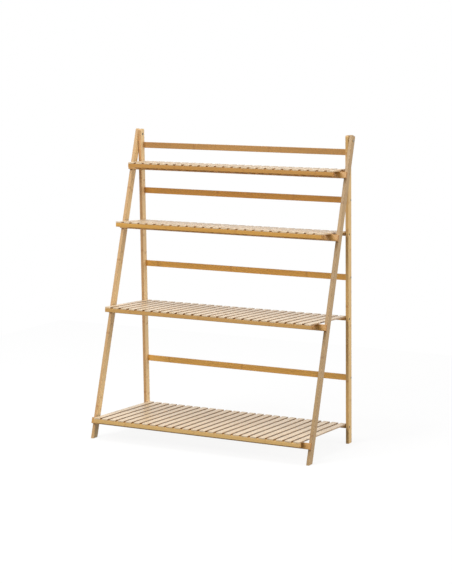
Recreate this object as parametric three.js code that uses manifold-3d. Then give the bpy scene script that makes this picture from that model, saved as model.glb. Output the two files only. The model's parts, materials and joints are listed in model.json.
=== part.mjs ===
// Folding four-tier plant stand made of bamboo battens.
//
// Two ladder frames share one pair of hinge bolts at the top: the rear frame, which stands
// almost upright, and the front frame, whose legs pass outside it and splay forwards.
// Four slatted shelves, longer towards the floor, turn on screws through the rear legs and
// lie loose on the crossbars of the front frame, so that each can be lifted before the
// two frames are closed.
//
// Millimetres and degrees. +Z is up, +Y is the back, +X is the right seen from the front.

import * as THREE from 'three';
import { mergeVertices } from 'three/addons/utils/BufferGeometryUtils.js';
import Module from 'manifold-3d';

// ---------------------------------------------------------------- driving dimensions

// frames
const STAND_HEIGHT = 1223;        // floor to the highest point of the leg tops
const REAR_FRAME_WIDTH = 941;     // over the outer faces of the rear legs
const REAR_LEAN = 1.62;           // how far the rear legs lean forwards
const FRONT_SPLAY = 16.76;        // how far the front legs slope back from foot to hinge
const LEG_THICKNESS = 13;         // across the stand
const LEG_DEPTH = 29;             // front to back, square to the leg
const LEG_TOP_RADIUS = 6;         // rounded corners of the leg tops
const HINGE_TO_TOP = 21;          // hinge axis to the square end of a leg
const EASED_EDGE = 1.5;           // rounding of the long edges of legs and rails

// rails of the two frames
const BACK_RAIL_HEIGHT = 23.5;
const BACK_RAIL_THICKNESS = 10;
const CROSSBAR_HEIGHT = 24.5;
const CROSSBAR_THICKNESS = 12;

// places of the shelves; each list runs from the top shelf down
const LOWEST_PIVOT_HEIGHT = 68;                      // pivot axis of the lowest shelf above the floor
const TOP_PIVOT_DROP = 120.4;                        // pivot axis of the top shelf below the hinge axis
const SHELF_LEVELS = [1, 0.76, 0.429, 0];            // of the way up from the lowest pivot to the top one
const SHELF_SLOPES = [0.9, 3.5, 2.5, 1.7];           // how far the front edge is tilted up
const SHELF_OVERHANGS = [58.5, 86, 74.5, 34];        // front edge of the crossbar to the deck's front face
const BACK_RAIL_RISES = [87.5, 144, 175, 208];       // pivot axis of the shelf to the top of its back rail

// pieces of a shelf
const SLAT_COUNT = 25;
const SLAT_WIDTH = 26;
const SLAT_THICKNESS = 6;
const SLAT_EASED_EDGE = 1;
const SLAT_HOUSING = 1;           // how deep the slats are let into the rear rail
const FRONT_RAIL_HEIGHT = 15;
const FRONT_RAIL_DEPTH = 15;
const FRONT_RAIL_ROUNDING = 2;    // of its lower edges, where hands take hold of the shelf
const REAR_RAIL_HEIGHT = 12.7;
const REAR_RAIL_DEPTH = 13;
const STOP_CLEAT_HEIGHT = 10;
const STOP_CLEAT_DEPTH = 12;
const STOP_CLEAT_INSET = 60;      // end of the cleat to the end of the deck
const PIVOT_SETBACK = 8.4;        // pivot axis behind the front faces of the rear legs

// hinge hardware
const BOLT_SHANK_RADIUS = 2.5;
const BOLT_HEAD_RADIUS = 5;
const BOLT_HEAD_HEIGHT = 2.6;
const BOLT_HEAD_RIM = 1;          // straight part of the head below its dome
const BOLT_HEAD_FLAT_RADIUS = 2.4; // flat end of the dome, around the socket
const SLEEVE_RADIUS = 3.8;
const SLEEVE_FLANGE_RADIUS = 5;
const SLEEVE_FLANGE_THICKNESS = 1.6;
const SLEEVE_FLANGE_CHAMFER = 0.5;
const SLEEVE_LENGTH = 11;         // from the flange into the rear leg
const SOCKET_WIDTH = 3;           // across the flats of the hexagon sockets
const BOLT_SOCKET_DEPTH = 1.5;
const SLEEVE_SOCKET_DEPTH = 1;
const WASHER_RADIUS = 7.5;
const WASHER_THICKNESS = 1;

// wood screws and dowels
const SCREW_HEAD_RADIUS = 3.8;
const SCREW_HEAD_HEIGHT = 2.6;
const SCREW_SHANK_RADIUS = 2;
const RAIL_SCREW_LENGTH = 38;
const PIVOT_SCREW_LENGTH = 40;
const SCREW_TIP_LENGTH = 5;
const DOWEL_RADIUS = 3;
const DOWEL_LENGTH = 24;
const DOWEL_IN_CROSSBAR = 8;

// clearances
const FIT_GAP = 0.3;              // between pieces that touch or are fastened together
const SHELF_SIDE_CLEARANCE = 2.5; // end of a deck to the inner face of a rear leg
const STOP_CLEARANCE = 0.5;       // stop cleat to the front face of its crossbar

// ---------------------------------------------------------------- finishes

const FINISHES = {
  leg: { color: 0xcda372, roughness: 0.5, metalness: 0 },
  rail: { color: 0xbe8a46, roughness: 0.48, metalness: 0 },
  shelfRail: { color: 0xc99c5c, roughness: 0.48, metalness: 0 },
  slat: { color: 0xebd9c1, roughness: 0.52, metalness: 0 },
  dowel: { color: 0xd9bd94, roughness: 0.7, metalness: 0 },
  steel: { color: 0x6f6a63, roughness: 0.38, metalness: 0.9 },
  screw: { color: 0x5b5148, roughness: 0.42, metalness: 0.85 },
  nylon: { color: 0xe9e6dd, roughness: 0.55, metalness: 0 },
};

function finish(name) {
  return new THREE.MeshStandardMaterial(FINISHES[name]);
}

// ---------------------------------------------------------------- solids

const wasm = await Module();
wasm.setup();

const BOLT_SEGMENTS = 24;         // round the hinge bolts, nuts, washers and their holes
const SCREW_SEGMENTS = 12;        // round the screws, dowels and their holes
const DOME_SEGMENTS = 3;          // from the rim of a bolt head to its flat end
const CORNER_SEGMENTS = 4;        // of the rounded corners of leg tops and front rails
const EASE_SEGMENTS = 2;          // of the eased edges of legs and rails
const OVERRUN = 1;                // how far a cutter runs past the face it starts from

// Shared vertices merged and the zero-area triangles at poles left out.
function cleaned(geometry) {
  const bare = geometry.clone();
  bare.deleteAttribute('normal');
  bare.deleteAttribute('uv');
  const merged = mergeVertices(bare, 1e-4);
  const index = merged.getIndex().array;
  const kept = [];
  for (let i = 0; i < index.length; i += 3) {
    const [a, b, c] = index.slice(i, i + 3);
    if (a !== b && b !== c && c !== a) {
      kept.push(a, b, c);
    }
  }
  merged.setIndex(kept);
  return merged;
}

function solidOf(geometry) {
  const clean = cleaned(geometry);
  return new wasm.Manifold(new wasm.Mesh({
    numProp: 3,
    vertProperties: new Float32Array(clean.getAttribute('position').array),
    triVerts: new Uint32Array(clean.getIndex().array),
  }));
}

function geometryOf(solid) {
  const mesh = solid.getMesh();
  const geometry = new THREE.BufferGeometry();
  geometry.setAttribute('position', new THREE.BufferAttribute(mesh.vertProperties, mesh.numProp));
  geometry.setIndex(new THREE.BufferAttribute(mesh.triVerts, 1));
  geometry.computeVertexNormals();
  return geometry;
}

function joined(geometries) {
  const [first, ...others] = geometries.map(solidOf);
  return geometryOf(others.reduce((whole, next) => whole.add(next), first));
}

function cut(geometry, cutters) {
  return geometryOf(cutters.reduce((rest, cutter) => rest.subtract(solidOf(cutter)), solidOf(geometry)));
}

function roundedRectangle(width, height, upperRadius, lowerRadius) {
  const x = width / 2;
  const y = height / 2;
  const shape = new THREE.Shape();
  shape.moveTo(x - lowerRadius, -y);
  shape.absarc(x - lowerRadius, -y + lowerRadius, lowerRadius, -Math.PI / 2, 0);
  shape.absarc(x - upperRadius, y - upperRadius, upperRadius, 0, Math.PI / 2);
  shape.absarc(-x + upperRadius, y - upperRadius, upperRadius, Math.PI / 2, Math.PI);
  shape.absarc(-x + lowerRadius, -y + lowerRadius, lowerRadius, Math.PI, Math.PI * 1.5);
  return shape;
}

// The left piece is the right one reflected in the middle plane of the stand.
function reflected(geometry) {
  const image = cleaned(geometry);
  image.scale(-1, 1, 1);
  image.setIndex(Array.from(image.getIndex().array).reverse());
  image.computeVertexNormals();
  return image;
}

function bothSides(geometry) {
  return [geometry, reflected(geometry)];
}

// A batten that runs across the stand, centred on the origin: depth along Y, height along Z.
// Its long edges are eased, and the lower ones can be rounded further.
function crossBatten(length, depth, height, lowerRadius = EASED_EDGE) {
  const section = roundedRectangle(depth, height, EASED_EDGE, lowerRadius);
  const batten = new THREE.ExtrudeGeometry(section, {
    depth: length,
    bevelEnabled: false,
    curveSegments: lowerRadius > EASED_EDGE ? CORNER_SEGMENTS : EASE_SEGMENTS,
  });
  batten.translate(0, 0, -length / 2);
  return batten.applyMatrix4(SIDE_PLANE);
}

// Sketches of the side view have the stand's Y across the page and its Z up the page.
const SIDE_PLANE = new THREE.Matrix4().makeBasis(
  new THREE.Vector3(0, 1, 0),
  new THREE.Vector3(0, 0, 1),
  new THREE.Vector3(1, 0, 0),
);

// A turned piece: its profile is [radius, distance] pairs from one end of its axis to the
// other. The axis points along +X, or along +Y, from distance 0.
function turned(profile, segments, axis = 'x') {
  const points = profile.map(([radius, distance]) => new THREE.Vector2(radius, distance));
  const lathe = new THREE.LatheGeometry(points, segments);
  return axis === 'x' ? lathe.rotateZ(-Math.PI / 2) : lathe;
}

function rod(radius, start, end, segments, axis = 'x') {
  return turned([[0, start], [radius, start], [radius, end], [0, end]], segments, axis);
}

const radians = THREE.MathUtils.degToRad;

// ---------------------------------------------------------------- the side view

// Where a point of a frame turned by an angle about the X axis lies in the side view.
function turnedPoint(y, z, angle) {
  return {
    y: y * Math.cos(angle) - z * Math.sin(angle),
    z: y * Math.sin(angle) + z * Math.cos(angle),
  };
}

const rearAngle = radians(REAR_LEAN);
const frontAngle = -radians(FRONT_SPLAY);

// The front legs slope more, so the front corner of their tops is the highest point.
const topCorner = turnedPoint(-LEG_DEPTH / 2 + LEG_TOP_RADIUS, HINGE_TO_TOP - LEG_TOP_RADIUS, frontAngle);
const hingeHeight = STAND_HEIGHT - topCorner.z - LEG_TOP_RADIUS;

// Distance up the rear frame, from the hinge axis, of a height above the floor.
function alongRearFrame(height, y) {
  return (height - hingeHeight - y * Math.sin(rearAngle)) / Math.cos(rearAngle);
}

// Outline of a leg around the hinge axis: square and rounded at the top, cut level with
// the floor at the foot.
function legOutline(angle) {
  const half = LEG_DEPTH / 2;
  const footAt = (y) => -(hingeHeight + y * Math.sin(angle)) / Math.cos(angle);
  const top = HINGE_TO_TOP;
  const radius = LEG_TOP_RADIUS;
  const outline = new THREE.Shape();
  outline.moveTo(-half, footAt(-half));
  outline.lineTo(half, footAt(half));
  outline.lineTo(half, top - radius);
  outline.absarc(half - radius, top - radius, radius, 0, Math.PI / 2);
  outline.absarc(-half + radius, top - radius, radius, Math.PI / 2, Math.PI);
  return outline;
}

// A leg with its thickness across the stand, centred on the plane x = 0.
function legBoard(angle) {
  const board = new THREE.ExtrudeGeometry(legOutline(angle), {
    depth: LEG_THICKNESS - 2 * EASED_EDGE,
    bevelEnabled: true,
    bevelThickness: EASED_EDGE,
    bevelSize: EASED_EDGE,
    bevelOffset: -EASED_EDGE,
    bevelSegments: EASE_SEGMENTS,
    curveSegments: CORNER_SEGMENTS,
  });
  board.translate(0, 0, EASED_EDGE - LEG_THICKNESS / 2);
  return board.applyMatrix4(SIDE_PLANE);
}

// ---------------------------------------------------------------- shelf levels

const topPivotHeight = hingeHeight - TOP_PIVOT_DROP;
const pivotHeights = SHELF_LEVELS.map((level) =>
  LOWEST_PIVOT_HEIGHT + level * (topPivotHeight - LOWEST_PIVOT_HEIGHT));

// ---------------------------------------------------------------- widths

const rearLegOuter = REAR_FRAME_WIDTH / 2;
const rearLegInner = rearLegOuter - LEG_THICKNESS;
const rearLegMiddle = (rearLegOuter + rearLegInner) / 2;
const frontLegInner = rearLegOuter + WASHER_THICKNESS + 2 * FIT_GAP;
const frontLegOuter = frontLegInner + LEG_THICKNESS;
const frontLegMiddle = (frontLegInner + frontLegOuter) / 2;
const deckHalfWidth = rearLegInner - SHELF_SIDE_CLEARANCE;

// ---------------------------------------------------------------- fasteners

// Countersunk wood screw that points along +X, its flat head at distance 0. A gap makes
// the cutter for its hole, which opens past the face.
function woodScrew(length, gap = 0) {
  const head = SCREW_HEAD_RADIUS + gap;
  const shank = SCREW_SHANK_RADIUS + gap;
  const cone = [[head, gap], [shank, SCREW_HEAD_HEIGHT + gap]];
  if (gap > 0) {
    const end = length + gap;
    return turned([[0, -OVERRUN], [head, -OVERRUN], ...cone, [shank, end], [0, end]], SCREW_SEGMENTS);
  }
  return turned([[0, 0], ...cone, [shank, length - SCREW_TIP_LENGTH], [0, length]], SCREW_SEGMENTS);
}

// Cutter for a socket that is sunk, by a depth, into a flat face at a distance along X. The
// face points along +X or, with direction -1, along -X.
function hexagonSocket(face, depth, direction = 1) {
  const cornerRadius = SOCKET_WIDTH / Math.sqrt(3);
  const socket = new THREE.CylinderGeometry(cornerRadius, cornerRadius, depth + OVERRUN, 6);
  const middle = face + direction * (OVERRUN - depth) / 2;
  return socket.rotateZ(Math.PI / 2).translate(middle, 0, 0);
}

// Profile of a dome as a quarter of an ellipse, from its rim to its flat end.
function domeProfile(rimRadius, flatRadius, start, height) {
  return Array.from({ length: DOME_SEGMENTS + 1 }, (_, i) => {
    const angle = (i / DOME_SEGMENTS) * Math.PI / 2;
    const radius = flatRadius + (rimRadius - flatRadius) * Math.cos(angle);
    return [radius, start + height * Math.sin(angle)];
  });
}

// Hinge bolt of the right side: its shank starts inside the sleeve nut, its head lies on
// the outer face of the front leg.
function hingeBolt() {
  const seat = frontLegOuter + FIT_GAP;
  const start = rearLegInner;
  const headEnd = seat + BOLT_HEAD_HEIGHT;
  const domeStart = seat + BOLT_HEAD_RIM;
  const body = turned([
    [0, start],
    [BOLT_SHANK_RADIUS, start],
    [BOLT_SHANK_RADIUS, seat],
    [BOLT_HEAD_RADIUS, seat],
    ...domeProfile(BOLT_HEAD_RADIUS, BOLT_HEAD_FLAT_RADIUS, domeStart, headEnd - domeStart),
    [0, headEnd],
  ], BOLT_SEGMENTS);
  return cut(body, [hexagonSocket(headEnd, BOLT_SOCKET_DEPTH)]);
}

// Sleeve nut of the right side: a flange on the inner face of the rear leg and a tube
// that reaches into the leg around the bolt.
function sleeveNut() {
  const flangeBack = rearLegInner - FIT_GAP;
  const flangeFace = flangeBack - SLEEVE_FLANGE_THICKNESS;
  const bore = BOLT_SHANK_RADIUS + FIT_GAP;
  const body = turned([
    [0, flangeFace],
    [SLEEVE_FLANGE_RADIUS - SLEEVE_FLANGE_CHAMFER, flangeFace],
    [SLEEVE_FLANGE_RADIUS, flangeFace + SLEEVE_FLANGE_CHAMFER],
    [SLEEVE_FLANGE_RADIUS, flangeBack],
    [SLEEVE_RADIUS, flangeBack],
    [SLEEVE_RADIUS, flangeBack + SLEEVE_LENGTH],
    [bore, flangeBack + SLEEVE_LENGTH],
    [bore, flangeBack],
    [0, flangeBack],
  ], BOLT_SEGMENTS);
  return cut(body, [hexagonSocket(flangeFace, SLEEVE_SOCKET_DEPTH, -1)]);
}

function hingeWasher() {
  const start = rearLegOuter + FIT_GAP;
  const bore = BOLT_SHANK_RADIUS + FIT_GAP;
  return turned([
    [bore, start],
    [WASHER_RADIUS, start],
    [WASHER_RADIUS, start + WASHER_THICKNESS],
    [bore, start + WASHER_THICKNESS],
    [bore, start],
  ], BOLT_SEGMENTS);
}

// ---------------------------------------------------------------- rear frame

const backRailY = LEG_DEPTH / 2 - BACK_RAIL_THICKNESS / 2;
const backRailZ = pivotHeights.map((height, i) =>
  alongRearFrame(height + BACK_RAIL_RISES[i], backRailY) - BACK_RAIL_HEIGHT / 2);
const pivotY = -LEG_DEPTH / 2 + PIVOT_SETBACK;
const pivotZ = pivotHeights.map((height) => alongRearFrame(height, pivotY));

// The head of a screw through a rear leg lies flush in the leg's outer face. Screws are
// drawn for the right leg's outer face, so they point towards -X.
function legScrew(length, y, z, gap = 0) {
  return woodScrew(length, gap).rotateY(Math.PI).translate(rearLegOuter, y, z);
}

function rearLeg() {
  const holes = [
    rod(SLEEVE_RADIUS + FIT_GAP, rearLegInner - OVERRUN, rearLegOuter + OVERRUN, BOLT_SEGMENTS),
    ...backRailZ.map((z) => legScrew(RAIL_SCREW_LENGTH, backRailY, z, FIT_GAP)),
    ...pivotZ.map((z) => legScrew(PIVOT_SCREW_LENGTH, pivotY, z, FIT_GAP)),
  ];
  return cut(legBoard(rearAngle).translate(rearLegMiddle, 0, 0), holes);
}

function backRail() {
  const length = 2 * (rearLegInner - FIT_GAP);
  const screwHole = legScrew(RAIL_SCREW_LENGTH, 0, 0, FIT_GAP);
  return cut(crossBatten(length, BACK_RAIL_THICKNESS, BACK_RAIL_HEIGHT), bothSides(screwHole));
}

// ---------------------------------------------------------------- front frame

const crossbarY = -LEG_DEPTH / 2 - FIT_GAP - CROSSBAR_THICKNESS / 2;
const crossbarFrontY = crossbarY - CROSSBAR_THICKNESS / 2;
const slatUnderside = REAR_RAIL_HEIGHT / 2 - SLAT_HOUSING;
const slatTop = slatUnderside + SLAT_THICKNESS;

// What each shelf takes from the side view, angles in radians, places from the hinge axis.
const shelves = SHELF_SLOPES.map((degrees, i) => {
  const slope = radians(degrees);
  const pivot = turnedPoint(pivotY, pivotZ[i], rearAngle);

  // The front upper edge of the crossbar meets the underside of the deck: its height up the
  // front frame, and the same edge measured forwards from the pivot along the deck.
  const steepness = -frontAngle - slope;
  const deckLine = slatUnderside - FIT_GAP + pivot.y * Math.sin(slope) + pivot.z * Math.cos(slope);
  const crossbarTop = (deckLine + crossbarFrontY * Math.sin(steepness)) / Math.cos(steepness);
  const edge = turnedPoint(crossbarFrontY, crossbarTop, frontAngle);
  const crossbarReach = -turnedPoint(edge.y - pivot.y, edge.z - pivot.z, slope).y;

  return { slope, steepness, crossbarTop, crossbarReach, reach: crossbarReach + SHELF_OVERHANGS[i] };
});

const crossbarZ = shelves.map(({ crossbarTop }) => crossbarTop - CROSSBAR_HEIGHT / 2);

// A dowel of the right side, centred on the joint between a crossbar and its leg.
function crossbarDowel(gap = 0) {
  const front = -LEG_DEPTH / 2 - DOWEL_IN_CROSSBAR;
  const dowel = rod(DOWEL_RADIUS + gap, front - gap, front + DOWEL_LENGTH + gap, SCREW_SEGMENTS, 'y');
  return dowel.translate(frontLegMiddle, 0, 0);
}

function frontLeg() {
  const holes = [
    rod(BOLT_SHANK_RADIUS + FIT_GAP, frontLegInner - OVERRUN, frontLegOuter + OVERRUN, BOLT_SEGMENTS),
    ...crossbarZ.map((z) => crossbarDowel(FIT_GAP).translate(0, 0, z)),
  ];
  return cut(legBoard(frontAngle).translate(frontLegMiddle, 0, 0), holes);
}

function crossbar() {
  const batten = crossBatten(2 * frontLegOuter, CROSSBAR_THICKNESS, CROSSBAR_HEIGHT);
  const dowelHole = crossbarDowel(FIT_GAP).translate(0, -crossbarY, 0);
  return cut(batten, bothSides(dowelHole));
}

// ---------------------------------------------------------------- shelves

// In a shelf's own frame the pivot axis is the X axis and the deck runs towards -Y.
const deckBack = REAR_RAIL_DEPTH / 2;
const slatPitch = (2 * deckHalfWidth - SLAT_WIDTH) / (SLAT_COUNT - 1);

// The section of a slat, standing on its underside, with its upper edges eased.
function slatSection() {
  const half = SLAT_WIDTH / 2;
  const section = new THREE.Shape();
  section.moveTo(-half, 0);
  section.lineTo(half, 0);
  section.lineTo(half, SLAT_THICKNESS - SLAT_EASED_EDGE);
  section.lineTo(half - SLAT_EASED_EDGE, SLAT_THICKNESS);
  section.lineTo(SLAT_EASED_EDGE - half, SLAT_THICKNESS);
  section.lineTo(-half, SLAT_THICKNESS - SLAT_EASED_EDGE);
  return section;
}

function slat(index, reach) {
  const length = deckBack + reach;
  const batten = new THREE.ExtrudeGeometry(slatSection(), { depth: length, bevelEnabled: false });
  batten.rotateX(Math.PI / 2);
  const x = -deckHalfWidth + SLAT_WIDTH / 2 + index * slatPitch;
  return batten.translate(x, deckBack, slatUnderside);
}

// The slats and the rear rail that they are housed in, with a bore in each end of the
// rail for its pivot screw.
function slatDeck(shelf) {
  const rearRail = new THREE.BoxGeometry(2 * deckHalfWidth, REAR_RAIL_DEPTH, REAR_RAIL_HEIGHT);
  const slats = Array.from({ length: SLAT_COUNT }, (_, index) => slat(index, shelf.reach));
  const bore = legScrew(PIVOT_SCREW_LENGTH, 0, 0, FIT_GAP);
  return cut(joined([rearRail, ...slats]), bothSides(bore));
}

function frontRail(shelf) {
  const batten = crossBatten(2 * deckHalfWidth, FRONT_RAIL_DEPTH, FRONT_RAIL_HEIGHT, FRONT_RAIL_ROUNDING);
  const y = -shelf.reach + FRONT_RAIL_DEPTH / 2;
  return batten.translate(0, y, slatUnderside - FIT_GAP - FRONT_RAIL_HEIGHT / 2);
}

// The cleat lies in front of the crossbar, whose face slopes forwards on its way down, and
// so keeps the front frame from spreading.
function stopCleat(shelf) {
  const length = 2 * (deckHalfWidth - STOP_CLEAT_INSET);
  const slant = STOP_CLEAT_HEIGHT * Math.tan(shelf.steepness);
  const back = shelf.crossbarReach + slant + STOP_CLEARANCE;
  const batten = crossBatten(length, STOP_CLEAT_DEPTH, STOP_CLEAT_HEIGHT);
  const z = slatUnderside - FIT_GAP - STOP_CLEAT_HEIGHT / 2;
  return batten.translate(0, -back - STOP_CLEAT_DEPTH / 2, z);
}

// ---------------------------------------------------------------- assembly

function addPiece(group, name, geometry, finishName, y = 0, z = 0) {
  const piece = new THREE.Mesh(geometry, finish(finishName));
  piece.name = name;
  piece.position.set(0, y, z);
  group.add(piece);
}

function addPair(group, name, geometry, finishName, y = 0, z = 0) {
  addPiece(group, `${name}_right`, geometry, finishName, y, z);
  addPiece(group, `${name}_left`, reflected(geometry), finishName, y, z);
}

function buildRearFrame() {
  const frame = new THREE.Group();
  addPair(frame, 'rear_leg', rearLeg(), 'leg');
  backRailZ.forEach((z, i) => {
    addPiece(frame, `back_rail_${i + 1}`, backRail(), 'rail', backRailY, z);
    addPair(frame, `rail_screw_${i + 1}`, legScrew(RAIL_SCREW_LENGTH, 0, 0), 'screw', backRailY, z);
  });
  addPair(frame, 'hinge_bolt', hingeBolt(), 'steel');
  addPair(frame, 'sleeve_nut', sleeveNut(), 'steel');
  addPair(frame, 'hinge_washer', hingeWasher(), 'nylon');
  return frame;
}

function buildFrontFrame() {
  const frame = new THREE.Group();
  addPair(frame, 'front_leg', frontLeg(), 'leg');
  crossbarZ.forEach((z, i) => {
    addPiece(frame, `crossbar_${i + 1}`, crossbar(), 'rail', crossbarY, z);
    addPair(frame, `crossbar_dowel_${i + 1}`, crossbarDowel(), 'dowel', 0, z);
  });
  return frame;
}

function buildShelf(shelf, number) {
  const group = new THREE.Group();
  addPiece(group, `slat_deck_${number}`, slatDeck(shelf), 'slat');
  addPiece(group, `front_rail_${number}`, frontRail(shelf), 'shelfRail');
  addPiece(group, `stop_cleat_${number}`, stopCleat(shelf), 'shelfRail');
  addPair(group, `pivot_screw_${number}`, legScrew(PIVOT_SCREW_LENGTH, 0, 0), 'screw');
  return group;
}

function buildStand() {
  const stand = new THREE.Group();
  const hinge = new THREE.Group();
  hinge.position.z = hingeHeight;
  stand.add(hinge);

  const rearFrame = buildRearFrame();
  rearFrame.rotation.x = rearAngle;
  hinge.add(rearFrame);

  const frontFrame = buildFrontFrame();
  frontFrame.rotation.x = frontAngle;
  hinge.add(frontFrame);

  shelves.forEach((shelf, i) => {
    const group = buildShelf(shelf, i + 1);
    group.position.set(0, pivotY, pivotZ[i]);
    group.rotation.x = -rearAngle - shelf.slope;
    rearFrame.add(group);
  });

  // The origin is the middle of the floor space that the open stand covers.
  stand.updateMatrixWorld(true);
  const box = new THREE.Box3().setFromObject(stand);
  hinge.position.y = -(box.min.y + box.max.y) / 2;
  return stand;
}

export default buildStand();
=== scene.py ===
# %% [markdown]
# # A folding bamboo plant stand
#
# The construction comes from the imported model: every leg, rail, bolt and shelf is already
# in its place and at its size. This lesson gives those pieces their finish. It rebuilds the
# few that need more shape than the construction holds, lights them softly, and sets the
# camera where the photograph was taken.

import json
import math
import random

import bmesh
import bpy
from mathutils import Matrix, Vector


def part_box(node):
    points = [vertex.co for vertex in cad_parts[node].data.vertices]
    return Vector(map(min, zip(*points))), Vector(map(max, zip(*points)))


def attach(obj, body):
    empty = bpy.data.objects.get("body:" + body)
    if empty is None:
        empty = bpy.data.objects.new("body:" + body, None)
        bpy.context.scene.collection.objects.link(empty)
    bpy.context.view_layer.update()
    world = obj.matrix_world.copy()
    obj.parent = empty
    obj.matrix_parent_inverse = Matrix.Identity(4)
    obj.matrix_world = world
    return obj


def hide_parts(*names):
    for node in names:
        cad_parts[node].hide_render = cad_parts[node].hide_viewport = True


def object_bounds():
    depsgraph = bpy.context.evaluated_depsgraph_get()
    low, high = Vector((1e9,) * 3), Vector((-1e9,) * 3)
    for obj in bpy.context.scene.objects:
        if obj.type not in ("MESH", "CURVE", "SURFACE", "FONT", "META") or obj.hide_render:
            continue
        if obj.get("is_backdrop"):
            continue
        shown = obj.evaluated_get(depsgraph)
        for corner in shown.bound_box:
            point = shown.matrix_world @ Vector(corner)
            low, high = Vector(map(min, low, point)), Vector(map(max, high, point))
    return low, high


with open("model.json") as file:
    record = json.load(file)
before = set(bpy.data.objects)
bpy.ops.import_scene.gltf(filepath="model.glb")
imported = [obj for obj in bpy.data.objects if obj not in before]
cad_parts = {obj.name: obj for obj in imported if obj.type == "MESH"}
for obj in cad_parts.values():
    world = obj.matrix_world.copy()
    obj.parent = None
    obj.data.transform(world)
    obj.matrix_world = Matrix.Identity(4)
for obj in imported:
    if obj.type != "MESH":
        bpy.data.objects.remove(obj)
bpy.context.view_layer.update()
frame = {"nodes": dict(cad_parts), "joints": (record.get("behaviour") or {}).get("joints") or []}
nodes = frame["nodes"]
SIDES = ("left", "right")
SHELVES = (1, 2, 3, 4)

# %% [markdown]
# ## The camera
#
# A product photograph is taken from far away with a long lens, so that upright legs stay
# upright. The camera here is placed by where it looks, how far off it stands, and the two
# angles of its view. The lens is a real focal length on a 36 mm sensor, which Blender lays
# along the longer side of the picture.

# %% Camera
AIM = Vector((0.0209, 0.0039, 0.6022))
CAMERA_DISTANCE = 7.0555
CAMERA_AZIMUTH = math.radians(28.076)
CAMERA_ELEVATION = math.radians(8.481)
CAMERA_LENS = 110.48

towards_camera = Vector((
    math.sin(CAMERA_AZIMUTH) * math.cos(CAMERA_ELEVATION),
    -math.cos(CAMERA_AZIMUTH) * math.cos(CAMERA_ELEVATION),
    math.sin(CAMERA_ELEVATION),
))


def add_camera():
    camera = bpy.data.objects.new("camera", bpy.data.cameras.new("camera"))
    bpy.context.collection.objects.link(camera)
    camera.location = AIM + CAMERA_DISTANCE * towards_camera
    camera.rotation_mode = "QUATERNION"
    camera.rotation_quaternion = (-towards_camera).to_track_quat("-Z", "Y")
    camera.data.lens = CAMERA_LENS
    camera.data.clip_end = 100
    bpy.context.scene.camera = camera
    return camera


camera = add_camera()
print("camera at", [round(x, 3) for x in camera.location])

# %% [markdown]
# ## A small kit for shader nodes
#
# A material is a graph, and a graph built in code reads best when each node is one line.
# `add` makes a node and fills its inputs: a number or colour is set, and a socket is linked.

# %% Node helpers


def add(tree, kind, inputs=None, **settings):
    node = tree.nodes.new(kind)
    for name, value in settings.items():
        setattr(node, name, value)
    for name, value in (inputs or {}).items():
        if isinstance(value, bpy.types.NodeSocket):
            tree.links.new(value, node.inputs[name])
        else:
            node.inputs[name].default_value = value
    return node


def maths(tree, operation, a, b=0.0, clamp=False):
    return add(tree, "ShaderNodeMath", {0: a, 1: b}, operation=operation, use_clamp=clamp).outputs[0]


def blend_value(tree, factor, low, high):
    mix = add(tree, "ShaderNodeMix", {0: factor, 2: low, 3: high}, data_type="FLOAT")
    return mix.outputs[0]


def blend_colour(tree, factor, low, high):
    mix = add(tree, "ShaderNodeMix", {0: factor, 6: low, 7: high}, data_type="RGBA")
    return mix.outputs[2]


def noise(tree, vector, scale=1.0, detail=2.0, rough=0.5):
    texture = add(tree, "ShaderNodeTexNoise", {
        "Vector": vector, "Scale": scale, "Detail": detail, "Roughness": rough})
    return texture.outputs["Fac"]


def stretched(tree, vector, along, across):
    scaled = add(tree, "ShaderNodeVectorMath", {0: vector, 1: (along, across, across)}, operation="MULTIPLY")
    return scaled.outputs[0]


def share_between(tree, value, low, high):
    """0 up to the low value, 1 from the high value on, and even in between."""
    return add(tree, "ShaderNodeMapRange", {"Value": value, "From Min": low, "From Max": high}).outputs[0]


def linear(red, green, blue):
    """A colour given as 0 to 255 display values, as Blender's linear colour."""
    def channel(value):
        value = value / 255
        return value / 12.92 if value <= 0.04045 else ((value + 0.055) / 1.055) ** 2.4
    return (channel(red), channel(green), channel(blue), 1.0)


print("node helpers ready")

# %% [markdown]
# ## Bamboo
#
# Bamboo furniture is sawn from split culms that are planed flat and glued side by side, so
# a batten shows a few long strips of slightly different tone. Fine straight fibres run
# along each strip, and every hand or two a darker ring crosses it, where the culm had a
# knuckle. One node group holds all of that: strips, fibres, knuckles and glue lines. Each
# material then gives it its own colours and lays it along its own piece.

# %% The bamboo group
# How often each pattern repeats in a metre, along the grain and across it.
CLOUD_SCALE = (2.5, 14.0)
STREAK_SCALE = (5.0, 210.0)
FIBRE_SCALE = (14.0, 1500.0)
# Every strip starts this many metres, times a random share, further along its culm.
CULM_SHIFT = 7.31
SEED_STEP = 17.3
# A knuckle's ring in metres: its dark core, where it has faded out, and how it wanders.
RING_CORE = 0.0015
RING_FADE = 0.007
RING_WAVE = 0.012
RING_RISE = 0.3
# The glue line takes what lies beyond this distance from a strip's middle, in strips.
GLUE_START = 0.465
GLUE_DARKNESS = 0.35
GLUE_GROOVE = 0.3
# How strongly each pattern moves the tone from pale to deep.
CLOUD_TONE = 0.55
STREAK_TONE = 0.75
FIBRE_TONE = 0.5
LEAST_TONE = 0.2
# The lacquer over smooth wood, over fibres, and what sawn ends add to it.
SMOOTH_ROUGHNESS = 0.36
FIBRE_ROUGHNESS = 0.58
END_ROUGHNESS = 0.15
FIBRE_RISE = 0.35
# How squarely a face has to look along the grain, or across it, to count as an end, or as a side that takes
# painted shade.
END_FACING = (0.75, 0.95)
SIDE_FACING = (0.6, 0.9)


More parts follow.
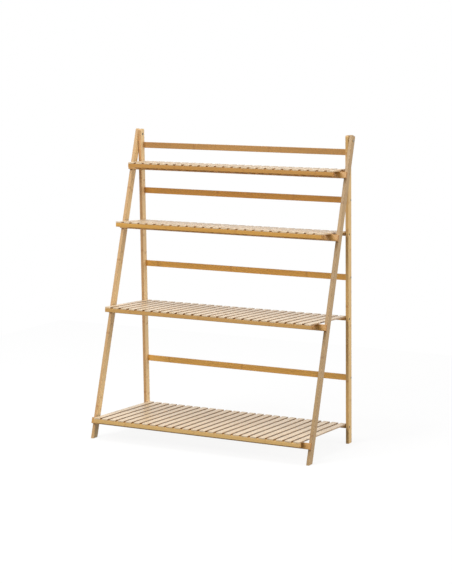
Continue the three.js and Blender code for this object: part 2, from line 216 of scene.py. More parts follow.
def build_bamboo_group():
    tree = bpy.data.node_groups.new("bamboo", "ShaderNodeTree")
    for name, kind, default in (
        ("Vector", "NodeSocketVector", (0.0, 0.0, 0.0)),
        ("Pale", "NodeSocketColor", (0.8, 0.6, 0.4, 1.0)),
        ("Deep", "NodeSocketColor", (0.6, 0.4, 0.2, 1.0)),
        ("Knuckle", "NodeSocketColor", (0.4, 0.2, 0.1, 1.0)),
        ("Strip", "NodeSocketFloat", 0.01),
        ("Strip Offset", "NodeSocketFloat", 0.0),
        ("Knuckle Spacing", "NodeSocketFloat", 0.25),
        ("Knuckle Strength", "NodeSocketFloat", 0.5),
        ("Strip Contrast", "NodeSocketFloat", 0.3),
        ("Seed", "NodeSocketFloat", 0.0),
        ("End Stain", "NodeSocketFloat", 0.55),
        # The side socket: how much painted shade darkens the faces that look across the grain.
        ("Side Stain", "NodeSocketFloat", 0.0),
        ("Facing", "NodeSocketVector", (0.0, 0.0, 1.0)),
    ):
        tree.interface.new_socket(name, in_out="INPUT", socket_type=kind).default_value = default
    for name, kind in (
        ("Color", "NodeSocketColor"),
        ("Roughness", "NodeSocketFloat"),
        ("Height", "NodeSocketFloat"),
    ):
        tree.interface.new_socket(name, in_out="OUTPUT", socket_type=kind)
    given = tree.nodes.new("NodeGroupInput").outputs
    result = tree.nodes.new("NodeGroupOutput").inputs

    place = add(tree, "ShaderNodeSeparateXYZ", {0: given["Vector"]}).outputs
    across = maths(tree, "DIVIDE", maths(tree, "ADD", place[1], given["Strip Offset"]), given["Strip"])
    strip = maths(tree, "FLOOR", across)
    strip_key = maths(tree, "ADD", strip, maths(tree, "MULTIPLY", given["Seed"], SEED_STEP))
    strip_noise = add(tree, "ShaderNodeTexWhiteNoise", {"W": strip_key}, noise_dimensions="1D")
    strip_tone = strip_noise.outputs["Value"]

    # Each strip is cut from another stretch of culm, so its fibres and knuckles are shifted.
    shift = maths(tree, "MULTIPLY", strip_tone, CULM_SHIFT)
    shifted = add(tree, "ShaderNodeCombineXYZ", {
        0: maths(tree, "ADD", place[0], shift), 1: place[1], 2: place[2]}).outputs[0]
    clouds = noise(tree, stretched(tree, shifted, *CLOUD_SCALE))
    streaks = noise(tree, stretched(tree, shifted, *STREAK_SCALE), detail=3.0, rough=0.6)
    fibres = noise(tree, stretched(tree, shifted, *FIBRE_SCALE), rough=0.6)

    # Knuckles: a narrow ring, slightly wavy, at a steady spacing along each strip.
    wave = maths(tree, "MULTIPLY", maths(tree, "SUBTRACT", streaks, 0.5), RING_WAVE)
    along = maths(tree, "ADD", maths(tree, "ADD", place[0], shift), wave)
    turn = maths(tree, "FRACT", maths(tree, "DIVIDE", along, given["Knuckle Spacing"]))
    off_ring = maths(tree, "MULTIPLY", maths(tree, "ABSOLUTE", maths(tree, "SUBTRACT", turn, 0.5)),
                     given["Knuckle Spacing"])
    ring = add(tree, "ShaderNodeMapRange", {
        "Value": off_ring, "From Min": RING_CORE, "From Max": RING_FADE, "To Min": 1.0, "To Max": 0.0},
        interpolation_type="SMOOTHSTEP").outputs[0]

    off_middle = maths(tree, "ABSOLUTE", maths(tree, "SUBTRACT", maths(tree, "FRACT", across), 0.5))
    glue = share_between(tree, off_middle, GLUE_START, 0.5)

    tone = maths(tree, "MULTIPLY", maths(tree, "SUBTRACT", strip_tone, 0.5), given["Strip Contrast"])
    streak = maths(tree, "SUBTRACT", streaks, 0.5)
    fibre = maths(tree, "SUBTRACT", fibres, 0.5)
    for pattern, weight in ((clouds, CLOUD_TONE), (streak, STREAK_TONE), (fibre, FIBRE_TONE)):
        tone = maths(tree, "ADD", tone, maths(tree, "MULTIPLY", pattern, weight))
    tone = maths(tree, "ADD", tone, LEAST_TONE, clamp=True)
    colour = blend_colour(tree, tone, given["Pale"], given["Deep"])

    # Sawn ends drink more lacquer: they are darker, and dull. Sides can take painted shade as well, in the
    # knuckle colour.
    facing = add(tree, "ShaderNodeSeparateXYZ", {0: given["Facing"]}).outputs
    end = share_between(tree, maths(tree, "ABSOLUTE", facing[0]), *END_FACING)
    side = share_between(tree, maths(tree, "ABSOLUTE", facing[1]), *SIDE_FACING)
    for where, strength in (
        (ring, given["Knuckle Strength"]),
        (glue, GLUE_DARKNESS),
        (end, given["End Stain"]),
        (side, given["Side Stain"]),
    ):
        colour = blend_colour(tree, maths(tree, "MULTIPLY", where, strength), colour, given["Knuckle"])
    rough = blend_value(tree, fibres, SMOOTH_ROUGHNESS, FIBRE_ROUGHNESS)
    rough = maths(tree, "ADD", rough, maths(tree, "MULTIPLY", end, END_ROUGHNESS))
    height = maths(tree, "MULTIPLY", maths(tree, "ADD", fibres, streaks), FIBRE_RISE)
    height = maths(tree, "SUBTRACT", height, maths(tree, "MULTIPLY", glue, GLUE_GROOVE))
    height = maths(tree, "ADD", height, maths(tree, "MULTIPLY", ring, RING_RISE))
    tree.links.new(colour, result["Color"])
    tree.links.new(rough, result["Roughness"])
    tree.links.new(height, result["Height"])
    return tree


bamboo_group = build_bamboo_group()
print("bamboo group has", len(bamboo_group.nodes), "nodes")

# %% [markdown]
# The group expects its grain along X. A leg stands nearly upright and leans, so a Mapping
# node first turns the stand's coordinates until X runs up the leg. The finish over the
# bamboo is a thin clear lacquer: a little coat, a soft highlight, and a bump so low that it
# only breaks the highlight into threads.

# %% Bamboo materials
REAR_LEAN = math.radians(1.62)
FRONT_SPLAY = math.radians(16.76)
GRAIN_BUMP = 0.0004
BUMP_STRENGTH = 0.6
LACQUER_SPECULAR = 0.4
LACQUER_COAT = 0.12
LACQUER_COAT_ROUGHNESS = 0.25

# Euler angles that bring the grain direction of a piece onto the texture's X axis.
GRAIN_ACROSS_STAND = (0.0, 0.0, 0.0)


def bamboo_material(name, pale, deep, knuckle, turn, coat=LACQUER_COAT, **choices):
    material = bpy.data.materials.new(name)
    material.use_nodes = True
    tree = material.node_tree
    shader = tree.nodes["Principled BSDF"]
    coordinates = add(tree, "ShaderNodeTexCoord").outputs
    along = add(tree, "ShaderNodeMapping", {"Vector": coordinates["Object"], "Rotation": turn})
    facing = add(tree, "ShaderNodeMapping", {"Vector": coordinates["Normal"], "Rotation": turn})
    group = add(tree, "ShaderNodeGroup", node_tree=bamboo_group)
    tree.links.new(along.outputs[0], group.inputs["Vector"])
    tree.links.new(facing.outputs[0], group.inputs["Facing"])
    group.inputs["Pale"].default_value = linear(*pale)
    group.inputs["Deep"].default_value = linear(*deep)
    group.inputs["Knuckle"].default_value = linear(*knuckle)
    for socket, value in choices.items():
        group.inputs[socket.replace("_", " ").title()].default_value = value
    bump = add(tree, "ShaderNodeBump", {
        "Height": group.outputs["Height"], "Distance": GRAIN_BUMP, "Strength": BUMP_STRENGTH})
    tree.links.new(group.outputs["Color"], shader.inputs["Base Color"])
    tree.links.new(group.outputs["Roughness"], shader.inputs["Roughness"])
    tree.links.new(bump.outputs[0], shader.inputs["Normal"])
    shader.inputs["Specular IOR Level"].default_value = LACQUER_SPECULAR
    shader.inputs["Coat Weight"].default_value = coat
    shader.inputs["Coat Roughness"].default_value = LACQUER_COAT_ROUGHNESS
    return material


def upright_grain(lean):
    """Turns the stand's Z axis, leaning forwards by an angle, onto the texture's X axis."""
    return (Matrix.Rotation(math.pi / 2, 3, "Y") @ Matrix.Rotation(-lean, 3, "X")).to_euler()


def front_to_back_grain(slope):
    """Turns the stand's Y axis, its front raised by an angle, onto the texture's X axis."""
    return (Matrix.Rotation(-math.pi / 2, 3, "Z") @ Matrix.Rotation(slope, 3, "X")).to_euler()


# %% [markdown]
# Bamboo is sorted by tone only roughly, so each leg, back rail and front rail has a tone of
# its own. Every entry holds three colours from 0 to 255: the pale wood, the deep wood, and
# the knuckles, which also stain the sawn ends and colour the painted shade. A painted shade
# darkens the front and back faces of a leg, which take less light than its sides.

# %% The tones of the battens
LEG_COLOURS = {
    "rear_left": ((250, 220, 168), (232, 192, 132), (166, 104, 46)),
    "rear_right": ((224, 190, 128), (200, 156, 92), (166, 104, 46)),
    "front_left": ((240, 210, 156), (216, 176, 118), (160, 104, 50)),
    "front_right": ((188, 156, 108), (156, 120, 76), (140, 92, 50)),
}
LEG_SEEDS = {"rear_left": 9.0, "rear_right": 10.0, "front_left": 10.0, "front_right": 11.0}
# Painted shade on each leg's front and back faces, which take less light than its sides.
LEG_PAINTED_SHADE = {"rear_left": 0.55, "rear_right": 0.1, "front_left": 0.45, "front_right": 0.0}
BACK_RAIL_COLOURS = {
    1: ((196, 152, 90), (164, 118, 62), (146, 88, 40)),
    2: ((212, 158, 74), (182, 122, 46), (146, 84, 34)),
    3: ((230, 176, 88), (204, 144, 58), (156, 92, 40)),
    4: ((248, 196, 108), (224, 166, 76), (160, 96, 42)),
}
FRONT_RAIL_COLOURS = {
    1: ((208, 156, 80), (178, 122, 50), (150, 90, 40)),
    2: ((220, 168, 82), (194, 138, 54), (160, 98, 42)),
    3: ((212, 166, 96), (182, 132, 68), (156, 102, 56)),
    4: ((236, 196, 128), (214, 168, 98), (176, 122, 70)),
}
CROSSBAR_COLOURS = ((216, 168, 98), (190, 138, 70), (150, 90, 40))
SHELF_RAIL_COLOURS = ((226, 182, 116), (202, 154, 88), (164, 104, 56))
SLAT_COLOURS = ((240, 218, 186), (218, 188, 146), (134, 90, 48))

leg_bamboo = {
    leg: bamboo_material(
        f"{leg}_leg_bamboo", *colours, upright_grain(REAR_LEAN if "rear" in leg else -FRONT_SPLAY),
        strip=0.0098, knuckle_spacing=0.3, knuckle_strength=0.4, side_stain=LEG_PAINTED_SHADE[leg],
        seed=LEG_SEEDS[leg])
    for leg, colours in LEG_COLOURS.items()
}
back_rail_bamboo = {
    number: bamboo_material(
        f"back_rail_bamboo_{number}", *colours, GRAIN_ACROSS_STAND, strip=0.02, knuckle_spacing=0.34,
        knuckle_strength=0.25, seed=30.0 + number)
    for number, colours in BACK_RAIL_COLOURS.items()
}
front_rail_bamboo = {
    number: bamboo_material(
        f"front_rail_bamboo_{number}", *colours, GRAIN_ACROSS_STAND, strip=0.02, knuckle_spacing=0.31,
        knuckle_strength=0.2, seed=40.0 + number)
    for number, colours in FRONT_RAIL_COLOURS.items()
}
crossbar_bamboo = bamboo_material(
    "crossbar_bamboo", *CROSSBAR_COLOURS, GRAIN_ACROSS_STAND, strip=0.02, knuckle_spacing=0.29,
    knuckle_strength=0.2, seed=8.0)
shelf_rail_bamboo = bamboo_material(
    "shelf_rail_bamboo", *SHELF_RAIL_COLOURS, GRAIN_ACROSS_STAND, strip=0.02, knuckle_spacing=0.3,
    knuckle_strength=0.2, seed=12.0)
print("bamboo materials", [m.name for m in bpy.data.materials if "bamboo" in m.name])

# %% [markdown]
# ## The slats
#
# Twenty-five slats lie side by side on each shelf. One pattern serves them all if the
# group's strip is as wide as the slats' pitch: then every slat is a strip of its own tone,
# with its own knuckles. The slats of a shelf are tilted by a few degrees, so each shelf has
# its own turn of the grain.

# %% Slat materials
SHELF_SLOPES = {1: 0.9, 2: 3.5, 3: 2.5, 4: 1.7}
SLAT_COUNT = 25
SLAT_WIDTH = 0.026

DECK_HALF_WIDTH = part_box("slat_deck_4")[1].x
SLAT_PITCH = (2 * DECK_HALF_WIDTH - SLAT_WIDTH) / (SLAT_COUNT - 1)
STRIP_OFFSET = SLAT_PITCH / 2
# Painted shade on the slats' side faces, which lie in shade in the gaps between the slats.
SLAT_GAP_PAINTED_SHADE = {1: 0.3, 2: 0.3, 3: 0.65, 4: 0.65}

slat_bamboo = {
    shelf: bamboo_material(
        f"slat_bamboo_{shelf}", *SLAT_COLOURS, front_to_back_grain(math.radians(SHELF_SLOPES[shelf])),
        strip=SLAT_PITCH, strip_offset=STRIP_OFFSET, knuckle_spacing=0.42, knuckle_strength=0.1,
        strip_contrast=0.3, end_stain=0.1, side_stain=SLAT_GAP_PAINTED_SHADE[shelf], coat=0.4, seed=20.0 + shelf)
    for shelf in SHELVES
}
print("slat pitch", round(SLAT_PITCH * 1000, 2), "mm")

# %% [markdown]
# ## Metal, nylon and plain wood
#
# The fasteners are small and dark. Steel is a metal with a roughness that varies a little,
# as plating does; nylon is a plain plastic with a faint mottle.

# %% Small materials
MOTTLE_DARK = 0.8


def small_material(name, colour, metallic, rough_low, rough_high, grain):
    material = bpy.data.materials.new(name)
    material.use_nodes = True
    tree = material.node_tree
    shader = tree.nodes["Principled BSDF"]
    coordinates = add(tree, "ShaderNodeTexCoord").outputs["Object"]
    mottle = noise(tree, coordinates, scale=grain, detail=3.0)
    dark = tuple(MOTTLE_DARK * c for c in linear(*colour)[:3]) + (1.0,)
    tree.links.new(blend_colour(tree, mottle, dark, linear(*colour)), shader.inputs["Base Color"])
    tree.links.new(blend_value(tree, mottle, rough_low, rough_high), shader.inputs["Roughness"])
    shader.inputs["Metallic"].default_value = metallic
    return material


steel = small_material("dark_steel", (150, 142, 126), 1.0, 0.3, 0.45, 600.0)
screw_steel = small_material("screw_steel", (74, 62, 52), 0.9, 0.35, 0.5, 900.0)
nylon = small_material("nylon", (232, 228, 218), 0.0, 0.45, 0.6, 300.0)
dowel_wood = small_material("dowel_wood", (217, 189, 148), 0.0, 0.6, 0.75, 800.0)
print("small materials ready")

# %% [markdown]
# ## Dressing the construction
#
# The solids that already have the right shape keep it and only take a material.

# %% Materials on the frame


def dress(node, material):
    mesh = nodes[node].data
    mesh.materials.clear()
    mesh.materials.append(material)


for side in SIDES:
    dress(f"rear_leg_{side}", leg_bamboo[f"rear_{side}"])
    dress(f"front_leg_{side}", leg_bamboo[f"front_{side}"])
    dress(f"hinge_washer_{side}", nylon)
for number in SHELVES:
    dress(f"back_rail_{number}", back_rail_bamboo[number])
    dress(f"crossbar_{number}", crossbar_bamboo)
    dress(f"stop_cleat_{number}", shelf_rail_bamboo)
    for side in SIDES:
        dress(f"crossbar_dowel_{number}_{side}", dowel_wood)
print("dressed the legs, rails, cleats, dowels and washers")

# %% [markdown]
# ## From a bmesh to a piece
#
# Every new piece ends the same way. Its faces are turned outwards, it becomes an object, it
# gets a material, and it rides on the body that carries it. The construction's nodes that it
# stands for are hidden.

# %% Finishing a piece


def finished(name, bm, material, body, slot, *replaced):
    bmesh.ops.recalc_face_normals(bm, faces=bm.faces)
    mesh = bpy.data.meshes.new(name)
    bm.to_mesh(mesh)
    bm.free()
    mesh.materials.append(material)
    piece = bpy.data.objects.new(name, mesh)
    bpy.context.collection.objects.link(piece)
    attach(piece, body)
    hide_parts(*replaced)
    return piece


# %% [markdown]
# ## Slatted decks
#
# The construction holds each deck as one solid. Here it comes apart again into 25 slats and
# the rail that they are glued to. A slat is a planed strip with all its edges eased, so one
# strip is bevelled and copied. Each copy is rolled by a fraction of a degree: glued by hand,
# no two slats catch the light quite alike.
#
# A deck is drawn level, around its pivot axis, and tilted to its slope at the end.

# %% Where each deck lies
SLAT_THICKNESS = 0.006
SLAT_EASE = 0.0009
SLAT_ROLL = math.radians(0.35)
SLAT_HOUSING = 0.001
REAR_RAIL_HEIGHT = 0.0127
REAR_RAIL_DEPTH = 0.013
RAIL_EASE = 0.0012
EASE_SEGMENTS = 2
SLAT_UNDERSIDE = REAR_RAIL_HEIGHT / 2 - SLAT_HOUSING

pivots = {
    number: Vector(joint["pos_m"])
    for number in SHELVES
    for joint in frame["joints"] if joint["name"] == f"shelf_{number}_lift"
}


def deck_reach(number):
    """From the pivot axis forwards to the front ends of the slats, along the deck."""
    slope = math.radians(SHELF_SLOPES[number])
    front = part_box(f"slat_deck_{number}")[0].y
    return (pivots[number].y + SLAT_UNDERSIDE * math.sin(slope) - front) / math.cos(slope)


def tilted(number):
    slope = math.radians(SHELF_SLOPES[number])
    return Matrix.Translation(pivots[number]) @ Matrix.Rotation(-slope, 4, "X")


reaches = {number: deck_reach(number) for number in SHELVES}
print("reaches in mm", {number: round(1000 * reach, 1) for number, reach in reaches.items()})

# %% A batten with eased edges


def add_block(bm, low, high):
    corners = bmesh.ops.create_cube(bm, size=1.0)["verts"]
    bmesh.ops.scale(bm, verts=corners, vec=high - low)
    bmesh.ops.translate(bm, verts=corners, vec=(low + high) / 2)
    return corners


def rounded_over(bm, edges, offset, segments):
    bevel = bmesh.ops.bevel(
        bm, geom=edges, offset=offset, affect="EDGES", segments=segments, profile=0.5, material=-1)
    return bevel["faces"]


def add_batten(bm, low, high, ease):
    corners = add_block(bm, low, high)
    edges = list({edge for corner in corners for edge in corner.link_edges})
    for face in rounded_over(bm, edges, ease, EASE_SEGMENTS):
        face.smooth = True


# %% Slats and rear rails


def make_slats(number, chance):
    bm = bmesh.new()
    half = SLAT_WIDTH / 2
    add_batten(bm, Vector((-half, -reaches[number], SLAT_UNDERSIDE)),
               Vector((half, REAR_RAIL_DEPTH / 2, SLAT_UNDERSIDE + SLAT_THICKNESS)), SLAT_EASE)
    pattern = bm.verts[:] + bm.edges[:] + bm.faces[:]
    middle = (0, 0, SLAT_UNDERSIDE + SLAT_THICKNESS / 2)
    for index in range(SLAT_COUNT):
        copied = bmesh.ops.duplicate(bm, geom=pattern)["geom"]
        verts = [part for part in copied if isinstance(part, bmesh.types.BMVert)]
        roll = Matrix.Rotation(chance.uniform(-SLAT_ROLL, SLAT_ROLL), 3, "Y")
        bmesh.ops.rotate(bm, verts=verts, cent=middle, matrix=roll)
        bmesh.ops.translate(bm, verts=verts, vec=(half - DECK_HALF_WIDTH + index * SLAT_PITCH, 0, 0))
    pattern_verts = [part for part in pattern if isinstance(part, bmesh.types.BMVert)]
    bmesh.ops.delete(bm, geom=pattern_verts, context="VERTS")
    bmesh.ops.transform(bm, matrix=tilted(number), verts=bm.verts)
    return finished(f"slats_{number}", bm, slat_bamboo[number], f"shelf_{number}", "bamboo_slat",
                    f"slat_deck_{number}")


def make_rear_rail(number):
    bm = bmesh.new()
    corner = Vector((DECK_HALF_WIDTH, REAR_RAIL_DEPTH / 2, REAR_RAIL_HEIGHT / 2))
    add_batten(bm, -corner, corner, RAIL_EASE)
    bmesh.ops.transform(bm, matrix=tilted(number), verts=bm.verts)
    return finished(f"rear_rail_{number}", bm, shelf_rail_bamboo, f"shelf_{number}", "bamboo_shelf_rail",
                    f"slat_deck_{number}")


chance = random.Random(7)
for number in SHELVES:
    slats = make_slats(number, chance)
    make_rear_rail(number)
    print(slats.name, len(slats.data.polygons), "faces")

# %% [markdown]
# A front rail closes the slats' front ends from below. It is the edge that a hand takes hold
# of to lift the shelf, so its two long lower edges are rounded over more than the others are
# eased. It is bevelled twice: first those two edges, then every edge that is still sharp.

# %% Front rails
FRONT_RAIL_HEIGHT = 0.015
FRONT_RAIL_DEPTH = 0.015
FRONT_RAIL_GAP = 0.0003
FRONT_RAIL_ROUNDING = 0.0022
ROUNDING_SEGMENTS = 6
SHARP_ANGLE = math.radians(60)


def is_long_lower_edge(edge, middle_height):
    ends = [vert.co for vert in edge.verts]
    lower = all(end.z < middle_height for end in ends)
    return lower and abs(ends[0].x - ends[1].x) > DECK_HALF_WIDTH


def make_front_rail(number):
    bm = bmesh.new()
    top = SLAT_UNDERSIDE - FRONT_RAIL_GAP
    add_block(bm, Vector((-DECK_HALF_WIDTH, -reaches[number], top - FRONT_RAIL_HEIGHT)),
              Vector((DECK_HALF_WIDTH, -reaches[number] + FRONT_RAIL_DEPTH, top)))
    lower = [edge for edge in bm.edges if is_long_lower_edge(edge, top - FRONT_RAIL_HEIGHT / 2)]
    rounded = rounded_over(bm, lower, FRONT_RAIL_ROUNDING, ROUNDING_SEGMENTS)
    sharp = [edge for edge in bm.edges if edge.calc_face_angle() > SHARP_ANGLE]
    eased = rounded_over(bm, sharp, RAIL_EASE, EASE_SEGMENTS)
    for face in rounded + eased:
        if face.is_valid:
            face.smooth = True
    bmesh.ops.transform(bm, matrix=tilted(number), verts=bm.verts)
    return finished(f"rounded_front_rail_{number}", bm, front_rail_bamboo[number], f"shelf_{number}",
                    "bamboo_shelf_rail", f"front_rail_{number}")


for number in SHELVES:
    front_rail = make_front_rail(number)
    print(front_rail.name, len(front_rail.data.polygons), "faces")

# %% [markdown]
# ## Fasteners
#
# A screw, a bolt and a nut are all turned pieces with a socket sunk into the end that shows.
# All of them start from that end: a disc with the socket's outline cut out of it. The
# outline is drawn downwards to make the socket, and the disc's rim is drawn downwards
# through the stations of the profile, ring by ring. They are drawn upright, face up.

# %% Faces with sockets
ROUND_SEGMENTS = 32
CREASE_ANGLE = math.radians(35)


def repeated_round_axis(points, count):
    return [
        Matrix.Rotation(2 * math.pi * turn / count, 3, "Z") @ Vector(point)
        for turn in range(count) for point in points
    ]


def cross_outline(span, width):
    arm = [(span / 2, -width / 2, 0), (span / 2, width / 2, 0), (width / 2, width / 2, 0)]
    return repeated_round_axis(arm, 4)


def hexagon_outline(across_flats):
    return repeated_round_axis([(across_flats / math.sqrt(3), 0, 0)], 6)


def ring_of(verts):
    inside = set(verts)
    return list({edge for vert in verts for edge in vert.link_edges if set(edge.verts) <= inside})


def draw_down(bm, ring, stations):
    """Extrudes a ring of edges through (scale, depth) stations and returns the last ring."""
    for scale, depth in stations:
        made = bmesh.ops.extrude_edge_only(bm, edges=ring)["geom"]
        verts = [part for part in made if isinstance(part, bmesh.types.BMVert)]
        bmesh.ops.scale(bm, verts=verts, vec=(scale, scale, 1))
        bmesh.ops.translate(bm, verts=verts, vec=(0, 0, -depth - verts[0].co.z))
        ring = ring_of(verts)
    return ring


def socket_face(bm, rim_radius, outline, depth, taper):
    """A disc with a socket sunk into it. Returns the disc's rim."""
    rim = bmesh.ops.create_circle(bm, cap_ends=False, segments=ROUND_SEGMENTS, radius=rim_radius)["verts"]
    corners = [bm.verts.new(point) for point in outline]
    mouth = [bm.edges.new((corners[i - 1], corner)) for i, corner in enumerate(corners)]
    rim_ring = ring_of(rim)
    bmesh.ops.triangle_fill(bm, edges=rim_ring + mouth, use_beauty=True, normal=(0, 0, 1))
    bottom = draw_down(bm, mouth, [(taper, depth)])
    bmesh.ops.contextual_create(bm, geom=bottom)
    return rim_ring


def turned_rings(bm, rim, rim_radius, profile):
    """Draws the rim through (radius, depth) pairs and closes the far end."""
    stations = []
    radius_before = rim_radius
    for radius, depth in profile:
        stations.append((radius / radius_before, depth))
        radius_before = radius
    bmesh.ops.contextual_create(bm, geom=draw_down(bm, rim, stations))


# %% [markdown]
# The screws hold the back rails and carry the shelves. Their flat heads lie flush in the
# legs, with a cross recess. The thread is a small three-sided ridge, spun down the shank
# one pitch a turn. It stays inside its hole in the wood.

# %% Wood screws
SCREW_HEAD_RADIUS = 0.0038
SCREW_HEAD_RIM = 0.0003
SCREW_HEAD_HEIGHT = 0.0026
SCREW_CORE_RADIUS = 0.0015
SCREW_TIP_RADIUS = 0.0002
SCREW_TIP_LENGTH = 0.005
SCREW_RECESS_SPAN = 0.0046
SCREW_RECESS_WIDTH = 0.0011
SCREW_RECESS_DEPTH = 0.0016
SCREW_RECESS_TAPER = 0.5
THREAD_RADIUS = 0.0021
THREAD_HALF_WIDTH = 0.0005
THREAD_PITCH = 0.0026
THREAD_START = 0.008
THREAD_STEPS = 12


def add_thread(bm, length):
    turns = int((length - SCREW_TIP_LENGTH - THREAD_START) / THREAD_PITCH)
    section = [
        (SCREW_CORE_RADIUS, 0, THREAD_HALF_WIDTH),
        (THREAD_RADIUS, 0, 0),
        (SCREW_CORE_RADIUS, 0, -THREAD_HALF_WIDTH),
    ]
    corners = [bm.verts.new(Vector(point) - Vector((0, 0, THREAD_START))) for point in section]
    start = bm.faces.new(corners)
    bmesh.ops.spin(
        bm, geom=[start], cent=(0, 0, 0), axis=(0, 0, 1), dvec=(0, 0, -THREAD_PITCH / THREAD_STEPS),
        angle=2 * math.pi * turns, steps=turns * THREAD_STEPS, use_merge=False, use_duplicate=False)


def wood_screw(length):
    bm = bmesh.new()
    recess = cross_outline(SCREW_RECESS_SPAN, SCREW_RECESS_WIDTH)
    rim = socket_face(bm, SCREW_HEAD_RADIUS, recess, SCREW_RECESS_DEPTH, SCREW_RECESS_TAPER)
    turned_rings(bm, rim, SCREW_HEAD_RADIUS, [
        (SCREW_HEAD_RADIUS, SCREW_HEAD_RIM),
        (SCREW_CORE_RADIUS, SCREW_HEAD_HEIGHT),
        (SCREW_CORE_RADIUS, length - SCREW_TIP_LENGTH),
        (SCREW_TIP_RADIUS, length),
    ])
    add_thread(bm, length)
    return bm


def placed(bm, place, side):
    """Turns an upright piece so that its face looks outwards from its side of the stand."""
    turn = Matrix.Rotation(math.pi / 2 if side == "right" else -math.pi / 2, 4, "Y")
    bmesh.ops.transform(bm, matrix=Matrix.Translation(place) @ turn, verts=bm.verts)


def outer_face(node, side):
    """The middle of a fastener's outer end."""
    low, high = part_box(node)
    middle = (low + high) / 2
    return Vector((high.x if side == "right" else low.x, middle.y, middle.z))


def shade_round(piece):
    """Smooth shading, broken where two faces meet at a clear angle."""
    piece.data.polygons.foreach_set("use_smooth", [True] * len(piece.data.polygons))
    piece.data.set_sharp_from_angle(angle=CREASE_ANGLE)


for number in SHELVES:
    for side in SIDES:
        for kind, body in (("rail_screw", "rear_frame"), ("pivot_screw", f"shelf_{number}")):
            node = f"{kind}_{number}_{side}"
            low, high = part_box(node)
            screw = wood_screw(high.x - low.x)
            placed(screw, outer_face(node, side), side)
            shade_round(finished(f"threaded_{node}", screw, screw_steel, body, "dark_screw", node))
print("wood screws", 4 * len(SHELVES))

# %% [markdown]
# The hinge bolt has a domed head with a hexagon socket, on the outer face of the front leg.
# It turns into a sleeve nut, whose flange lies on the inner face of the rear leg.

# %% Hinge bolts and sleeve nuts
BOLT_HEAD_RADIUS = 0.005
BOLT_FLAT_RADIUS = 0.0024
BOLT_HEAD_HEIGHT = 0.0026
BOLT_RIM_HEIGHT = 0.001
BOLT_SHANK_RADIUS = 0.0025
HEXAGON_WIDTH = 0.003
BOLT_SOCKET_DEPTH = 0.0015
NUT_SOCKET_DEPTH = 0.001
NUT_FLANGE_RADIUS = 0.005
NUT_FLANGE_THICKNESS = 0.0016
NUT_CHAMFER = 0.0005
NUT_TUBE_RADIUS = 0.0038
NUT_BORE_RADIUS = 0.0028
DOME_STEPS = 6


def hinge_bolt(length):
    bm = bmesh.new()
    rim = socket_face(bm, BOLT_FLAT_RADIUS, hexagon_outline(HEXAGON_WIDTH), BOLT_SOCKET_DEPTH, 1.0)
    dome_height = BOLT_HEAD_HEIGHT - BOLT_RIM_HEIGHT
    dome = []
    for step in range(1, DOME_STEPS + 1):
        angle = math.pi / 2 * step / DOME_STEPS
        radius = BOLT_FLAT_RADIUS + (BOLT_HEAD_RADIUS - BOLT_FLAT_RADIUS) * math.sin(angle)
        dome.append((radius, dome_height * (1 - math.cos(angle))))
    turned_rings(bm, rim, BOLT_FLAT_RADIUS, dome + [
        (BOLT_HEAD_RADIUS, BOLT_HEAD_HEIGHT),
        (BOLT_SHANK_RADIUS, BOLT_HEAD_HEIGHT),
        (BOLT_SHANK_RADIUS, length),
    ])
    return bm


def sleeve_nut(length):
    bm = bmesh.new()
    flat_radius = NUT_FLANGE_RADIUS - NUT_CHAMFER
    rim = socket_face(bm, flat_radius, hexagon_outline(HEXAGON_WIDTH), NUT_SOCKET_DEPTH, 1.0)
    turned_rings(bm, rim, flat_radius, [
        (NUT_FLANGE_RADIUS, NUT_CHAMFER),
        (NUT_FLANGE_RADIUS, NUT_FLANGE_THICKNESS),
        (NUT_TUBE_RADIUS, NUT_FLANGE_THICKNESS),
        (NUT_TUBE_RADIUS, length),
        (NUT_BORE_RADIUS, length),
        (NUT_BORE_RADIUS, NUT_FLANGE_THICKNESS),
    ])
    return bm


OTHER_SIDE = {"left": "right", "right": "left"}
for side in SIDES:
    node = f"hinge_bolt_{side}"
    low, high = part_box(node)
    bolt = hinge_bolt(high.x - low.x)
    placed(bolt, outer_face(node, side), side)
    shade_round(finished(f"turned_{node}", bolt, steel, "rear_frame", "dark_steel", node))
    node = f"sleeve_nut_{side}"
    low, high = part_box(node)
    nut = sleeve_nut(high.x - low.x)
    inward = OTHER_SIDE[side]
    placed(nut, outer_face(node, inward), inward)
    shade_round(finished(f"turned_{node}", nut, steel, "rear_frame", "dark_steel", node))
print("hinge bolts and sleeve nuts ready")

# %% [markdown]
# ## Floor and light
#
# The object stands on a pale floor in a white room. What the camera sees of the floor and
# the world is white, through the Is Camera Ray switch. A small share of what it sees of the
# floor is still lit, so the stand keeps its shadow. The light on the object stays at a plain
# level: soft boxes overhead, at the front left and low on the right, and the world.

# %% Studio
FLOOR_SIZE = 4.4
# How pale the floor is to the light that bounces off it, and to the camera.
FLOOR_BOUNCE = 0.2
SEEN_PALE = 0.9
# The glow of the floor in the camera's view, and its share beside the lit floor.
SEEN_WHITE = 1.03
SEEN_SHARE = 0.86
WORLD_LIGHT = 0.36
LAMP_AIM = Vector((0.0, 0.0, 0.6))
LAMP_SIZE = 3.0
# Where each soft box stands, and the light that it gives a white surface turned towards it.
SOFT_BOXES = {
    "overhead": ((-1.2, -1.8, 7.5), 0.36),
    "front": ((-2.2, -5.4, 4.8), 0.53),
    "right": ((7.0, 0.2, 1.6), 0.53),
}


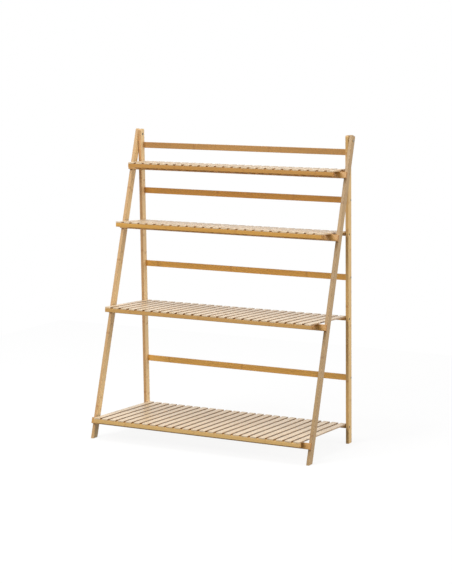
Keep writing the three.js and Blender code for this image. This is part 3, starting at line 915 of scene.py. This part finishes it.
def add_floor():
    mesh = bpy.data.meshes.new("floor")
    half = FLOOR_SIZE / 2
    corners = [(-half, -half, 0), (half, -half, 0), (half, half, 0), (-half, half, 0)]
    mesh.from_pydata(corners, [], [(0, 1, 2, 3)])
    floor = bpy.data.objects.new("floor", mesh)
    bpy.context.collection.objects.link(floor)
    material = bpy.data.materials.new("floor")
    material.use_nodes = True
    tree = material.node_tree
    tree.nodes.clear()
    output = tree.nodes.new("ShaderNodeOutputMaterial")
    path = add(tree, "ShaderNodeLightPath").outputs
    seen = maths(tree, "MAXIMUM", path["Is Camera Ray"], path["Is Glossy Ray"])
    tone = blend_value(tree, seen, FLOOR_BOUNCE, SEEN_PALE)
    grey = add(tree, "ShaderNodeCombineColor", {0: tone, 1: tone, 2: tone}).outputs[0]
    pale = add(tree, "ShaderNodeBsdfDiffuse", {"Color": grey})
    white = add(tree, "ShaderNodeEmission", {"Color": (1.0, 1.0, 1.0, 1.0), "Strength": SEEN_WHITE})
    share = maths(tree, "MULTIPLY", seen, SEEN_SHARE)
    mix = add(tree, "ShaderNodeMixShader", {0: share, 1: pale.outputs[0], 2: white.outputs[0]})
    tree.links.new(mix.outputs[0], output.inputs[0])
    mesh.materials.append(material)
    floor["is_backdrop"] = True


def set_world():
    world = bpy.data.worlds.new("studio")
    world.use_nodes = True
    tree = world.node_tree
    background = tree.nodes["Background"]
    path = add(tree, "ShaderNodeLightPath").outputs
    seen = maths(tree, "MAXIMUM", path["Is Camera Ray"], path["Is Glossy Ray"])
    seen = maths(tree, "MAXIMUM", seen, path["Is Transmission Ray"])
    background.inputs["Color"].default_value = (1.0, 1.0, 1.0, 1.0)
    tree.links.new(blend_value(tree, seen, WORLD_LIGHT, 1.0), background.inputs["Strength"])
    bpy.context.scene.world = world


def add_soft_box(name, place, level):
    light = bpy.data.lights.new(name, "AREA")
    light.shape = "SQUARE"
    light.size = LAMP_SIZE
    lamp = bpy.data.objects.new(name, light)
    bpy.context.collection.objects.link(lamp)
    lamp.location = place
    aim = LAMP_AIM - lamp.location
    light.energy = level * (math.pi * aim.length) ** 2
    lamp.rotation_mode = "QUATERNION"
    lamp.rotation_quaternion = aim.to_track_quat("-Z", "Y")


add_floor()
set_world()
for name, (place, level) in SOFT_BOXES.items():
    add_soft_box(name, place, level)
bpy.context.scene.view_settings.view_transform = "Standard"
print("studio with", len(SOFT_BOXES), "soft boxes")

# %% [markdown]
# ## Finish
#
# The size of the dressed stand is printed, because the finish must not change the stand's size.

# %% Sizes and the last line
low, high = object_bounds()
print("size", [round(x, 4) for x in high - low])
